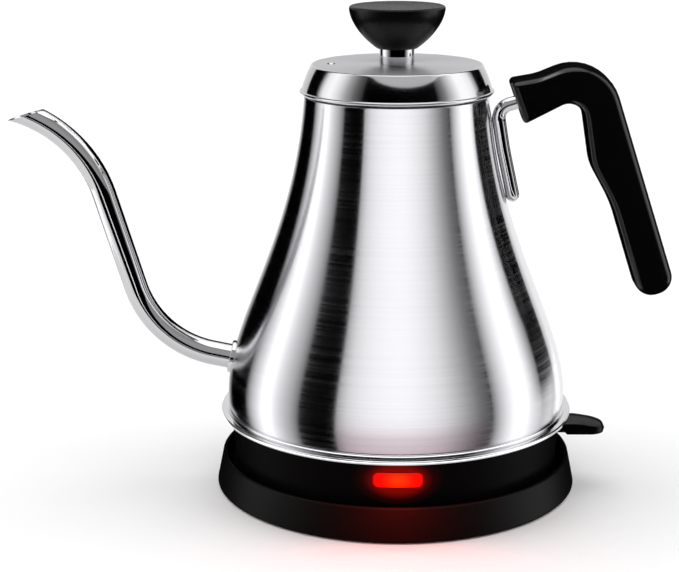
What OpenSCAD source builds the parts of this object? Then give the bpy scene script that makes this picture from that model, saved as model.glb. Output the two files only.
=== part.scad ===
// Electric gooseneck kettle on a round power base.
// Frame: +Z up, origin on the kettle's axis at the surface it stands on,
// -X towards the spout, +X towards the handle, -Y towards the indicator.

/* [Power base] */
// Radius of the power base where it meets the table
base_foot_r = 78; // [76:0.5:84]
// Radius of the power base at its top edge
base_top_r = 75.2; // [74.6:0.1:75.6]
// Height of the power base's top edge
base_h = 14.4; // [14:0.1:15]
// Height of the dish floor that the kettle stands over
dish_z = 9.8; // [9.4:0.1:10]

/* [Kettle base] */
// Outer radius of the plastic skirt under the steel ring
skirt_r = 71.8; // [71:0.1:72]
// Radius of the plastic skirt at its lower edge
skirt_foot_r = 69.2; // [68.5:0.1:69.6]
// Width of the indicator window
window_w = 20.2; // [14:0.2:24]
// Height of the indicator window
window_h = 6.4; // [5:0.2:8]

/* [Body] */
// Widest radius of the steel ring round the foot of the body
ring_r = 75.7; // [75:0.1:76.5]
// Radius of the body at its foot
body_foot_r = 72.4; // [72:0.1:72.8]
// Radius of the body at its mouth
mouth_r = 38.8; // [38.4:0.1:39.2]
// Height of the body's mouth
mouth_z = 169; // [168.6:0.1:169.2]
// Thickness of the steel sheet
sheet = 0.8; // [0.6:0.1:1]

/* [Spout] */
// Outer radius of the spout tube at the body
spout_r = 5.3; // [4.9:0.05:5.5]
// Outer radius of the spout tube at its mouth
spout_mouth_r = 4.8; // [4.6:0.05:4.9]
// Thickness of the spout's wall
spout_wall = 0.65; // [0.5:0.05:1]

/* [Handle] */
// Radius of the handle's steel rod
rod_r = 2.9; // [2.6:0.1:3]
// Width of the grip from side to side
grip_w = 20; // [16:1:24]

/* [Lid] */
// Radius of the flat top of the lid
lid_top_r = 35.7; // [35:0.1:36.2]
// Height of the flat top of the lid
lid_top_z = 182.4; // [182:0.1:183]
// Radius of the knob at its rim
knob_r = 20; // [17:0.5:23]
// Height of the top of the knob
knob_top_z = 206.5; // [204:0.5:210]

/* [Switch] */
// Width of the switch lever
lever_w = 15; // [13.5:0.5:15]

/* [Hidden] */
$fn = 96;
past = 1;                          // how far a cut runs beyond the face it opens

// Power base
wall = 2.2;                        // thickness of moulded walls
base_wall_z = 0.6;                 // lower edge of the power base's wall
base_edge_r = 0.8;                 // rounding of its top edge
base_edge_w = 1.6;                 // width of its top edge
dish_r = 71.2;                     // where the dish floor meets its slope
plate_z = 1;
plate_t = 2;
plate_r = base_foot_r - wall - 1.2;
foot_r = 6;
foot_ring_r = 62;
foot_recess = 0.8;
foot_turn = 45;
inlet_z = 6.8;
inlet_r = 3.7;
inlet_hole_r = 2.8;
inlet_back_y = 73;                 // inner end of the bush
inlet_length = 4.4;

// Screws that hold both bottom plates
pilot_r = 1.25;
shank_r = pilot_r - 0.05;
screw_length = 6;
screw_head_r = 2.6;
screw_head_h = 1;
screw_recess = 1.2;
boss_r = 4;
base_screw_ring_r = 48;
base_screw_turn = 30;
cover_screw_ring_r = 62.4;
cover_screw_turn = 90;

// Round connector, base side
tower_r = 17;
tower_foot_z = 5;
tower_top_z = 19.4;
tower_gap = 0.6;                   // round the tower in the dish floor
flange_r = 23;
socket_r = 3.2;
socket_z = 7;
slot_mid_r = 9.5;
slot_w = 2.4;
slot_z = 8;
contact_t = 0.5;
contact_h = 6;

// Round connector, kettle side
cup_r = 21;
cup_gap = 0.8;                     // round the tower and above it
cup_foot_z = 10.6;
cup_top_z = 22.2;
cup_ceiling_z = tower_top_z + cup_gap;
cup_flange_r = 23;                 // keeps the cup in the kettle
cup_flange_z = 18.9;
contact_pin_r = 2.2;
contact_foot_z = 12;
body_gap = 0.4;                    // between parts that turn or lift past each other

// Kettle base
skirt_foot_z = 10.3;
ring_foot_z = 32.6;                // underside of the steel ring
body_foot_z = 36;
window_z = 24.8;
window_corner = 2.2;
cover_t = 2;
collar_wall = 1.8;
collar_h = 8;
skirt_boss_h = 8;
board_w = 26;
board_h = 10;
board_t = 1.6;
board_y = -61.2;                   // face of the lamp board
board_rail_w = 1.6;
board_rail_y = -68.2;              // where its rails end in the skirt's wall
lamp_r = 2;
lamp_x = 5;

// Vessel bottom, element and control
floor_z = 38;
floor_t = 1;
spreader_r = 50;
spreader_t = 3.4;
spreader_z = floor_z - spreader_t;
element_r = 3.2;
element_ring_r = 36;
element_z = spreader_z - element_r;
element_gap = 35;                  // the element's ends stand this far either side of +X
element_end = 38;                  // and its cold legs at this angle
leg_r = 2.6;
leg_foot_z = 22.4;
tab = [0.8, 6, 7];
control_r = 25;
control_z = cup_top_z + 0.6;
control_h = 9.4;
control_arm_w = 10;
control_arm_z = 28.4;
control_arm_t = 3.2;
pad_ring_r = 20;
pad_r = 3;
disc_r = 4.8;
disc_t = 0.8;
disc_z = 33.2;
disc_seat_r = 6;
dry_disc_x = -12;

// Switch lever
pivot_x = 62;
pivot_z = 24;
pivot_r = 1.5;
running_gap = 0.06;
lug_t = 2;
lug_gap = 0.6;                     // between lever and lug
slot_foot_z = 22.8;                // opening in the skirt that the lever comes out of
slot_top_z = 28.8;
lever_outline = [                  // corners [x, z, rounding]
    [73.8, 23.6, 0.3], [74.8, 22.6, 0.4], [91, 22.6, 0.5], [90.4, 24.3, 0.8], [79, 26.2, 14],
    [72, 26.2, 4], [60, 27.4, 2], [58, 26, 1], [42, 26, 0.6], [42, 23.4, 0.6], [58, 23.4, 1],
    [60, 20.8, 2], [64, 20.8, 2], [67, 23.6, 1]
];
lever_tip_x = 91;
lever_tip_round = 6.5;             // seen from above
lever_arm_w = 10;
lever_arm_x = 57;                  // the lever is narrower inwards of here
trip_x = 45;
trip_z = 26.4;
trip_h = 6.4;
trip_r = 1.5;

// Body
belly = [75.5, 68.5];              // curve handles of the bell outline, as [radius, height]
neck = [43.7, 103.5];
lip_r = 0.8;                       // rolled edge of the mouth

// Spout, as corners [x, z, bend radius] of its centre line
spout_route = [[-69.3, 54.7, 0], [-104.5, 62, 43], [-135, 163.3, 54], [-176, 165.2, 0]];
mouth_top = [-148.5, 163.2];       // the slanted cut runs from the top of the mouth
mouth_lip = [-164, 158.6];         // to the tip of the pouring lip
collar_r = 7.1;
collar_t = 2.7;                    // along the spout, from its inner end

// Handle, as corners [x, z, bend radius]
rod_route = [[49.15, 126.7, 0], [44.8, 146.5, 90], [41.95, 163.7, 6], [74, 173.5, 0]];
grip_outline = [
    [46.4, 175.9, 2], [58, 177.9, 25], [85.6, 189.2, 20], [119.2, 87.2, 7.4], [103.8, 82.2, 7.4],
    [90.6, 123.4, 60], [81.2, 140.2, 22], [76.4, 169.6, 6.5], [53.1, 157.6, 1.5]
];
grip_side = 6;                     // rounding of the grip's long edges, across it
grip_draw_in = 3.6;                // and in the plane of its outline
grip_screw_x = 61;
grip_screw_z = 162.6;
grip_screw_r = 1.4;
grip_screw_length = 3.4;

// Lid
bead_r = 0.75;                     // rolled lower edge of the lid
lid_rim_r = 39.9;
lid_rim_z = 171.2;
plug_r = 36.8;
plug_foot_z = 158;
plug_flange_z = 173;               // where the plug is fixed to the inside of the lid
vent_x = -27.5;
vent_r = 1.5;
stem_r = 7.35;
knob_foot_z = 189;
knob_foot_r = 8.5;
knob_rim_h = 1.3;
knob_rim_round = 1.2;
knob_screw_r = 2;
knob_screw_length = 19;
knob_screw_head = [3.6, 2];        // as [radius, height]
washer_r = 6;
washer_t = 0.8;

// ---- helpers ----

function unit(v) = v / norm(v);
function bezier(a, b, c, d, n) = [
    for (i = [0:n])
        let (t = i / n, s = 1 - t)
        s * s * s * a + 3 * s * s * t * b + 3 * s * t * t * c + t * t * t * d
];
function backwards(list) = [for (i = [len(list) - 1:-1:0]) list[i]];
// Turn at corner q of the way p -> q -> r, in degrees: positive to the left
function turn(p, q, r) = let (a = q - p, b = r - q) atan2(a.x * b.y - a.y * b.x, a * b);
function flat(corner) = [corner.x, corner.y];
function spun(v, a) = [v.x * cos(a) - v.y * sin(a), v.x * sin(a) + v.y * cos(a)];
// Arc points that round one corner [x, y, radius] between its two neighbours
function corner_arc(before, at, after, n) =
    let (p = flat(before), q = flat(at), r = flat(after), bend = turn(p, q, r),
         way = unit(q - p), start = q - way * at[2] * tan(abs(bend) / 2),
         centre = start + sign(bend) * at[2] * [-way.y, way.x])
    [for (i = [0:n]) centre + spun(start - centre, bend * i / n)];
function rounded(corners, n = 8) = let (k = len(corners)) [
    for (i = [0:k - 1]) each corner_arc(corners[(i + k - 1) % k], corners[i], corners[(i + 1) % k], n)
];
// The same corners moved inwards by d, for a clockwise outline
function inset(corners, d) = let (k = len(corners)) [
    for (i = [0:k - 1])
        let (p = corners[(i + k - 1) % k], q = corners[i], r = corners[(i + 1) % k],
             a = unit([q.x - p.x, q.y - p.y]), b = unit([r.x - q.x, r.y - q.y]),
             bis = ([a.y, -a.x] + [b.y, -b.x]) / (1 + a * b), right_turn = a.x * b.y - a.y * b.x < 0)
        [q.x + bis.x * d, q.y + bis.y * d, max(q[2] + (right_turn ? -d : d), 0.4)]
];

// Stations [point, direction] along a route of corners [x, z, bend radius], with n steps to a bend
function stations(route, n = 10) = let (last = len(route) - 1) [
    [flat(route[0]), way_on(route, 0)],
    for (i = [1:last - 1])
        let (before = way_on(route, i - 1),
             bend = turn(flat(route[i - 1]), flat(route[i]), flat(route[i + 1])),
             arc = corner_arc(route[i - 1], route[i], route[i + 1], n))
        for (k = [0:n]) [arc[k], spun(before, bend * k / n)],
    [flat(route[last]), way_on(route, last - 1)]
];
function way_on(route, i) = unit(flat(route[i + 1]) - flat(route[i]));
// The same route, run on at both ends
function longer(route, by) = let (last = len(route) - 1, a = way_on(route, 0), b = way_on(route, last - 1)) [
    route[0] - by * [a.x, a.y, 0],
    for (i = [1:last - 1]) route[i],
    route[last] + by * [b.x, b.y, 0]
];
// Stations with radii [point, direction, radius]: with an even taper, and a round nose at the start
function with_radius(list, r, end_r) = let (last = len(list) - 1) [
    for (i = [0:last]) [list[i][0], list[i][1], r + (end_r - r) * i / last]
];
function nose(start, r) = [for (a = [75:-15:15]) [start[0] - start[1] * r * sin(a), start[1], r * cos(a)]];

// Closed skin over rings of points, which run anticlockwise for someone looking from ring to ring
module skin(rings) {
    sides = len(rings[0]);
    last = len(rings) - 1;
    faces = [
        [for (k = [sides - 1:-1:0]) k],
        [for (k = [0:sides - 1]) last * sides + k],
        for (i = [0:last - 1], k = [0:sides - 1])
            let (next = (k + 1) % sides, here = i * sides, there = here + sides)
            each [[here + next, there + next, there + k], [here + next, there + k, here + k]]
    ];
    polyhedron([for (points = rings) each points], faces, convexity = 6);
}

// Round bar in the XZ plane through stations with radii
module swept(list, sides = 24) {
    skin([
        for (s = list) [
            for (k = [0:sides - 1])
                let (a = 360 * k / sides, across = s[2] * cos(a) * [-s[1].y, s[1].x])
                [s[0].x + across.x, s[2] * sin(a), s[0].y + across.y]
        ]
    ]);
}

// Half-section in [radius, height] turned round the Z axis
module turned(section) {
    rotate_extrude() polygon(section);
}

module ring(r_out, r_in, z, h) {
    translate([0, 0, z]) difference() {
        cylinder(h = h, r = r_out);
        translate([0, 0, -past]) cylinder(h = h + 2 * past, r = r_in);
    }
}

module around(count, radius, first = 0) {
    for (i = [0:count - 1]) rotate(first + 360 * i / count) translate([radius, 0, 0]) children();
}

// Screw standing on its head, which has a cross recess
module pan_screw(shank_r, length, head_r, head_h) {
    recess = [head_r * 1.2, head_r * 0.3, head_h];
    difference() {
        union() {
            cylinder(h = head_h, r = head_r);
            cylinder(h = length, r = shank_r);
        }
        for (a = [0, 90]) rotate(a) cube(recess, center = true);
    }
}

// Outer and inner outline of the bell, as [radius, height]
function bell(inwards, n = 28) = [
    for (p = bezier([body_foot_r, body_foot_z], belly, neck, [mouth_r, mouth_z], n)) [p.x - inwards, p.y]
];
module bell_solid(inwards) {
    turned(concat([[0, body_foot_z]], bell(inwards), [[0, mouth_z]]));
}
// Places its children on the spout's first straight run, dist millimetres along it
module on_spout(dist) {
    way = way_on(spout_route, 0);
    at = flat(spout_route[0]) + dist * way;
    translate([at.x, 0, at.y]) rotate([0, atan2(way.x, way.y), 0]) children();
}

// ---- power base ----

module base_cover() {
    floor_foot_z = dish_z - wall;
    floor_hole_r = tower_r + tower_gap;
    boss_h = dish_z - 1 - plate_z - plate_t;
    color("#1c1c1e") difference() {
        union() {
            turned(rounded([
                [base_foot_r, base_wall_z, 0.6], [base_top_r, base_h, base_edge_r],
                [base_top_r - base_edge_w, base_h, 0.6], [dish_r, dish_z, 1.5], [floor_hole_r, dish_z, 0.2],
                [floor_hole_r, floor_foot_z, 0.2], [dish_r + 0.6, floor_foot_z, 0.5],
                [base_top_r - base_edge_w - 1, floor_foot_z + base_edge_w, 0.5],
                [base_foot_r - wall, base_wall_z, 0.2]
            ], 4));
            around(3, base_screw_ring_r, base_screw_turn)
                translate([0, 0, plate_z + plate_t]) cylinder(h = boss_h, r = boss_r);
        }
        around(3, base_screw_ring_r, base_screw_turn)
            translate([0, 0, plate_z + plate_t - past]) cylinder(h = boss_h, r = pilot_r);
        translate([0, inlet_back_y, inlet_z]) rotate([-90, 0, 0])
            cylinder(h = inlet_length + past, r = inlet_r);
    }
}

module base_bottom() {
    color("#1c1c1e") difference() {
        translate([0, 0, plate_z]) cylinder(h = plate_t, r = plate_r);
        at_feet() translate([0, 0, plate_z - past]) cylinder(h = past + foot_recess, r = foot_r);
        around(3, base_screw_ring_r, base_screw_turn) screw_hole(plate_z, plate_t);
    }
}

// Hole for a screw that comes up through a plate
module screw_hole(z, t) {
    translate([0, 0, z - past]) {
        cylinder(h = t + 2 * past, r = pilot_r);
        cylinder(h = past + screw_recess, r = screw_head_r + 0.3);
    }
}

module base_feet() {
    top_z = plate_z + foot_recess;
    color("#2a2a2a") at_feet() turned(rounded([
        [0, top_z, 0], [foot_r, top_z, 0.1], [foot_r, plate_z, 0.1], [foot_r - 0.8, 0, 0.4], [0, 0, 0]
    ], 3));
}

// Places its children at the four outer feet and the one in the middle
module at_feet() {
    children();
    around(4, foot_ring_r, foot_turn) children();
}

module base_screws() {
    color("silver") around(3, base_screw_ring_r, base_screw_turn)
        translate([0, 0, plate_z + screw_recess - screw_head_h])
            pan_screw(shank_r, screw_length, screw_head_r, screw_head_h);
}

module base_connector() {
    floor_foot_z = dish_z - wall;
    color("#202022") difference() {
        turned(rounded([
            [0, tower_foot_z, 0], [0, tower_top_z, 0], [tower_r, tower_top_z, 1.2],
            [tower_r, floor_foot_z, 0.1], [flange_r, floor_foot_z, 0.3], [flange_r, tower_foot_z, 0.3]
        ], 4));
        translate([0, 0, socket_z]) cylinder(h = tower_top_z, r = socket_r);
        ring(slot_mid_r + slot_w / 2, slot_mid_r - slot_w / 2, slot_z, tower_top_z);
    }
}

module base_contacts() {
    color("#b08d3f") {
        ring(socket_r, socket_r - contact_t, socket_z, contact_h);
        ring(slot_mid_r + slot_w / 2, slot_mid_r + slot_w / 2 - contact_t, slot_z, contact_h);
    }
}

module cord_inlet() {
    color("#141414") translate([0, inlet_back_y, inlet_z]) rotate([-90, 0, 0])
        ring(inlet_r, inlet_hole_r, 0, inlet_length);
}

// ---- connector half that lifts with the kettle ----

module kettle_connector() {
    color("#202022") turned(rounded([
        [tower_r + cup_gap, cup_foot_z, 0.3], [tower_r + cup_gap, cup_ceiling_z, 0.4],
        [contact_pin_r, cup_ceiling_z, 0.1], [contact_pin_r, cup_top_z, 0.1], [cup_flange_r, cup_top_z, 0.6],
        [cup_flange_r, cup_flange_z, 0.4], [cup_r, cup_flange_z, 0.2], [cup_r, cup_foot_z, 0.3]
    ], 3));
}

module connector_pin() {
    color("#b08d3f") turned(rounded([
        [0, contact_foot_z, 0], [0, cup_top_z, 0], [contact_pin_r, cup_top_z, 0.1],
        [contact_pin_r, contact_foot_z, 1.2]
    ], 4));
}

module connector_ring() {
    half_t = contact_t * 0.8;
    h = cup_ceiling_z - contact_foot_z;
    color("#b08d3f") ring(slot_mid_r + half_t, slot_mid_r - half_t, contact_foot_z, h);
}

// ---- kettle base ----

module window_block() {
    w = window_w / 2;
    h = window_h / 2;
    c = window_corner;
    translate([0, 0, window_z]) rotate([90, 0, 0])
        linear_extrude(height = skirt_r + past)
            polygon(rounded([[-w, -h, c], [w, -h, c], [w, h, c], [-w, h, c]], 6));
}

module kettle_skirt() {
    cover_top_z = skirt_foot_z + cover_t;
    lug_mid_y = (lever_w + lug_t) / 2 + lug_gap;
    slot_w = lever_w + 2 * lug_gap;
    color("#1c1c1e") {
        difference() {
            turned(rounded([
                [skirt_foot_r, skirt_foot_z, 1], [skirt_r, ring_foot_z, 0.1],
                [skirt_r - wall, ring_foot_z, 0.1], [skirt_foot_r - wall, skirt_foot_z, 0.3]
            ], 4));
            window_block();
            translate([pivot_x, -slot_w / 2, slot_foot_z]) cube([skirt_r, slot_w, slot_top_z - slot_foot_z]);
        }
        for (side = [-1, 1]) {
            translate([0, side * lug_mid_y, 0]) lever_lug();
            mirror([side < 0 ? 1 : 0, 0, 0]) translate([board_w / 2, board_rail_y, window_z - board_h / 2])
                cube([board_rail_w, board_y + board_t - board_rail_y, board_h]);
        }
        around(3, cover_screw_ring_r, cover_screw_turn) translate([0, 0, cover_top_z]) difference() {
            union() {
                cylinder(h = skirt_boss_h, r = boss_r);
                translate([0, -wall / 2, 0])
                    cube([skirt_foot_r - cover_screw_ring_r - 0.6, wall, skirt_boss_h]);
            }
            translate([0, 0, -past]) cylinder(h = skirt_boss_h, r = pilot_r);
        }
    }
}

// One of the two lugs that carry the lever's pin
module lever_lug() {
    difference() {
        translate([pivot_x - 4, -lug_t / 2, pivot_z - 4]) cube([10.6, lug_t, 8.5]);
        translate([pivot_x, 0, pivot_z]) rotate([90, 0, 0])
            cylinder(h = 2 * lug_t, r = pivot_r, center = true);
    }
}

module bottom_cover() {
    collar_r = cup_r + body_gap;
    color("#1c1c1e") difference() {
        union() {
            translate([0, 0, skirt_foot_z]) cylinder(h = cover_t, r = skirt_foot_r - wall - 0.3);
            translate([0, 0, skirt_foot_z]) cylinder(h = collar_h, r = collar_r + collar_wall);
        }
        translate([0, 0, skirt_foot_z - past]) cylinder(h = collar_h + 2 * past, r = collar_r);
        around(3, cover_screw_ring_r, cover_screw_turn) screw_hole(skirt_foot_z, cover_t);
    }
}

module cover_screws() {
    color("silver") around(3, cover_screw_ring_r, cover_screw_turn)
        translate([0, 0, skirt_foot_z + screw_recess - screw_head_h])
            pan_screw(shank_r, screw_length, screw_head_r, screw_head_h);
}

module base_ring() {
    inner_r = body_foot_r - 2.4;
    color("#d8d8dc") turned(rounded([
        [inner_r, ring_foot_z, 0.2], [inner_r, body_foot_z, 0.1], [body_foot_r + 0.4, body_foot_z, 0.3],
        [body_foot_r + 0.9, body_foot_z - 0.6, 0.3], [body_foot_r + 0.5, body_foot_z - 1.2, 0.2],
        [ring_r - 0.9, body_foot_z - 1.5, 0.3], [ring_r, body_foot_z - 2.1, 0.7], [ring_r, ring_foot_z, 0.8]
    ], 4));
}

module heat_spreader() {
    color("#b8bcc0") translate([0, 0, spreader_z]) cylinder(h = spreader_t, r = spreader_r);
}

// Places its children at both ends of the heating element
module at_element_ends() {
    for (a = [element_end, -element_end]) rotate(a) translate([element_ring_r, 0, 0]) children();
}

module heating_element() {
    color("#8a8a88") {
        translate([0, 0, element_z]) rotate(element_gap)
            rotate_extrude(angle = 360 - 2 * element_gap)
                translate([element_ring_r, 0]) circle(r = element_r);
        at_element_ends() translate([0, 0, leg_foot_z]) cylinder(h = element_z - leg_foot_z, r = leg_r);
    }
}

module element_terminals() {
    color("#c9b26a") at_element_ends() translate([-tab.x / 2, -tab.y / 2, leg_foot_z - tab.z]) cube(tab);
}

module control_body() {
    top_z = control_z + control_h;
    color("#e8e4da") difference() {
        union() {
            translate([0, 0, control_z]) cylinder(h = control_h, r = control_r);
            translate([0, -control_arm_w / 2, control_arm_z]) cube([trip_x, control_arm_w, control_arm_t]);
            translate([dry_disc_x, 0, control_z]) cylinder(h = disc_z - control_z, r = disc_seat_r);
            translate([trip_x, 0, control_arm_z]) cylinder(h = disc_z - control_arm_z, r = disc_seat_r);
            around(3, pad_ring_r) translate([0, 0, control_z])
                cylinder(h = spreader_z - control_z, r = pad_r);
        }
        for (x = [dry_disc_x, trip_x]) translate([x, 0, top_z - 0.4])
            cylinder(h = disc_z, r = disc_r - 0.8);
        translate([trip_x, 0, trip_z]) cylinder(h = trip_h, r = trip_r + running_gap);
    }
}

module bimetal_discs() {
    color("#a8a49a") for (x = [dry_disc_x, trip_x]) translate([x, 0, disc_z])
        cylinder(h = disc_t, r = disc_r);
}

module indicator_lens() {
    color("#ff2a12") intersection() {
        turned([
            [skirt_foot_r - wall, skirt_foot_z], [skirt_foot_r, skirt_foot_z], [skirt_r, ring_foot_z],
            [skirt_r - wall, ring_foot_z]
        ]);
        window_block();
    }
}

module indicator_board() {
    color("#1f6b3a") translate([-board_w / 2, board_y, window_z - board_h / 2])
        cube([board_w, board_t, board_h]);
}

module indicator_lamps() {
    stand = lamp_r * 1.3;
    color("#ff5a3c") for (x = [-lamp_x, lamp_x]) translate([x, board_y, window_z]) rotate([90, 0, 0]) {
        cylinder(h = stand, r = lamp_r);
        translate([0, 0, stand]) sphere(r = lamp_r);
    }
}

module lever_pin() {
    color("silver") translate([pivot_x, 0, pivot_z]) rotate([90, 0, 0])
        cylinder(h = lever_w + 2 * (lug_gap + lug_t), r = pivot_r, center = true);
}

// ---- body, spout and handle ----

module body_shell() {
    color("#c8c8cc") difference() {
        union() {
            turned(concat(bell(0), backwards(bell(sheet))));
            translate([0, 0, mouth_z]) rotate_extrude()
                translate([mouth_r - lip_r, 0]) circle(r = lip_r, $fn = 32);
        }
        on_spout(-10) cylinder(h = 20, r = spout_r);
    }
}

module vessel_bottom() {
    color("#b8b8bc") intersection() {
        bell_solid(sheet);
        translate([0, 0, floor_z]) cylinder(h = floor_t, r = ring_r);
    }
}

module spout_tube() {
    cut = unit(mouth_lip - mouth_top);
    bore = stations(longer(spout_route, 2));
    color("#d8d8dc") difference() {
        swept(with_radius(stations(spout_route), spout_r, spout_mouth_r));
        swept(with_radius(bore, spout_r - spout_wall, spout_mouth_r - spout_wall));
        translate([mouth_top.x, 0, mouth_top.y]) rotate([0, atan2(cut.y, -cut.x), 0])
            translate([-60, -20, 0]) cube([80, 40, 40]);
    }
}

module spout_collar() {
    // Fine steps, as a coarse cut along the body would change this small ring's volume
    $fn = 360;
    color("#d8d8dc") difference() {
        on_spout(0) turned(rounded([
            [0, 0, 0], [0, collar_t, 0], [collar_r, collar_t, 0.7], [collar_r, 0, 0]
        ], 4));
        on_spout(-5) cylinder(h = 20, r = spout_r);
        bell_solid(0);
    }
}

module handle_rod() {
    bar = stations(rod_route);
    color("#d8d8dc") swept(concat(nose(bar[0], rod_r), with_radius(bar, rod_r, rod_r)));
}

// Place for the rod in the grip
module rod_bore() {
    end = flat(rod_route[3]);
    way = way_on(rod_route, 2);
    translate([end.x, 0, end.y]) rotate([0, atan2(-way.x, -way.y), 0]) cylinder(h = 30, r = rod_r);
}

module handle_grip() {
    color("#101012") difference() {
        // The rounded edges are made of slices, each thinner and less drawn in than the one before
        for (a = [90:-15:0]) rotate([90, 0, 0])
            linear_extrude(height = grip_w - 2 * grip_side * (1 - sin(a)), center = true)
                polygon(rounded(inset(grip_outline, grip_draw_in * (1 - cos(a))), 5));
        rod_bore();
        translate([grip_screw_x, 0, grip_screw_z - 5]) cylinder(h = 10, r = grip_screw_r + 0.1);
    }
}

module handle_screw() {
    color("silver") translate([grip_screw_x, 0, grip_screw_z])
        pan_screw(grip_screw_r, grip_screw_length, grip_screw_r, screw_head_h);
}

// ---- lid ----

// Inner radius of the lid's wall at height z
function lid_inside(z) = let (rise = (z - lid_rim_z) / (lid_top_z - sheet - lid_rim_z))
    lid_rim_r - sheet + (lid_top_r - lid_rim_r) * rise;

module lid_cover() {
    under_z = lid_top_z - sheet;
    color("#c8c8cc") difference() {
        union() {
            turned(rounded([
                [0, lid_top_z, 0], [lid_top_r, lid_top_z, 0.9], [lid_rim_r, lid_rim_z, 0.1],
                [lid_inside(lid_rim_z), lid_rim_z, 0.1], [lid_inside(under_z), under_z, 0.5], [0, under_z, 0]
            ], 4));
            translate([0, 0, lid_rim_z]) rotate_extrude()
                translate([lid_rim_r, 0]) circle(r = bead_r, $fn = 32);
        }
        translate([vent_x, 0, under_z - past]) cylinder(h = sheet + 2 * past, r = vent_r);
        translate([0, 0, under_z - past]) cylinder(h = sheet + 2 * past, r = knob_screw_r);
    }
}

module lid_plug() {
    top_z = plug_flange_z + sheet;
    inner_r = plug_r - sheet;
    floor_top_z = plug_foot_z + sheet;
    color("#b8b8bc") difference() {
        turned([
            [0, plug_foot_z], each corner_arc([0, plug_foot_z], [plug_r, plug_foot_z, 2], [plug_r, top_z], 4),
            [plug_r, plug_flange_z], [lid_inside(plug_flange_z), plug_flange_z], [lid_inside(top_z), top_z],
            [inner_r, top_z],
            each corner_arc([inner_r, top_z], [inner_r, floor_top_z, 1.2], [0, floor_top_z], 4),
            [0, floor_top_z]
        ]);
        translate([vent_x, 0, plug_foot_z - past]) cylinder(h = sheet + 2 * past, r = vent_r);
    }
}

module knob_stem() {
    color("#d8d8dc") ring(stem_r, knob_screw_r, lid_top_z, knob_foot_z - lid_top_z);
}

module lid_knob() {
    rim_z = knob_top_z - knob_rim_h;
    bowl = bezier([knob_foot_r, knob_foot_z], [knob_foot_r + 5.4, knob_foot_z + 3.8],
        [knob_r - 0.5, rim_z - 6], [knob_r, rim_z], 14);
    edge = corner_arc([knob_r, rim_z], [knob_r, knob_top_z, knob_rim_round], [0, knob_top_z], 4);
    color("#101012") difference() {
        turned(concat([[0, knob_foot_z]], bowl, edge, [[0, knob_top_z]]));
        translate([0, 0, knob_foot_z - past]) cylinder(h = knob_screw_length - 5, r = knob_screw_r);
    }
}

module knob_screw() {
    color("silver") translate([0, 0, lid_top_z - sheet - washer_t - knob_screw_head[1]])
        pan_screw(knob_screw_r, knob_screw_length, knob_screw_head[0], knob_screw_head[1]);
}

module knob_washer() {
    color("silver") ring(washer_r, knob_screw_r, lid_top_z - sheet - washer_t, washer_t);
}

// ---- switch ----

module switch_lever() {
    cut_w = lever_w - lever_arm_w;
    w = lever_w / 2;
    plan = [[0, -w, 0], [lever_tip_x, -w, lever_tip_round], [lever_tip_x, w, lever_tip_round], [0, w, 0]];
    color("#101012") difference() {
        intersection() {
            rotate([90, 0, 0]) linear_extrude(height = lever_w + past, center = true)
                polygon(rounded(lever_outline, 4));
            linear_extrude(height = 2 * pivot_z) polygon(rounded(plan, 10));
        }
        translate([pivot_x, 0, pivot_z]) rotate([90, 0, 0])
            cylinder(h = lever_w + 2 * past, r = pivot_r + running_gap, center = true);
        for (side = [-1, 1]) translate([lever_arm_x / 2, side * lever_w / 2, pivot_z])
            cube([lever_arm_x, cut_w, lever_w], center = true);
    }
}

module trip_rod() {
    color("#e8e4da") translate([trip_x, 0, trip_z]) cylinder(h = trip_h, r = trip_r);
}

base_cover();
base_bottom();
base_feet();
base_screws();
base_connector();
base_contacts();
cord_inlet();
kettle_connector();
connector_pin();
connector_ring();
kettle_skirt();
bottom_cover();
cover_screws();
base_ring();
body_shell();
vessel_bottom();
heat_spreader();
heating_element();
element_terminals();
control_body();
bimetal_discs();
indicator_lens();
indicator_board();
indicator_lamps();
lever_pin();
spout_tube();
spout_collar();
handle_rod();
handle_grip();
handle_screw();
lid_cover();
lid_plug();
knob_stem();
lid_knob();
knob_screw();
knob_washer();
switch_lever();
trip_rod();
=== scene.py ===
"""Electric gooseneck kettle: looks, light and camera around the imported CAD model."""

import math

import bmesh
import bpy
from mathutils import Matrix, Vector


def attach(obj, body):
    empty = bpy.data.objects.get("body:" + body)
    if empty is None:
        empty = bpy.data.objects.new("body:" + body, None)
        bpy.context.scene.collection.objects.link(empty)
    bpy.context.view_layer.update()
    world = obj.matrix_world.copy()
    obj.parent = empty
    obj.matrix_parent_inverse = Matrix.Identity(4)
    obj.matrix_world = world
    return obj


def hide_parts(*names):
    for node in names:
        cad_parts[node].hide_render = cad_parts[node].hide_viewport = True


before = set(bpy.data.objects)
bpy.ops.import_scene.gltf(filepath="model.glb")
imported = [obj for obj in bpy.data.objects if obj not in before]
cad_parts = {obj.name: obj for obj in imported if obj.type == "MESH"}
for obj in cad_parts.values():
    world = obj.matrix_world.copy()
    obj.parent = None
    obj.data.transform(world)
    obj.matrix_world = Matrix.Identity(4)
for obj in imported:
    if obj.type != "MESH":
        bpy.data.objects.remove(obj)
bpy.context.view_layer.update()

MM = 0.001
WELD_GAP = 1e-7

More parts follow.
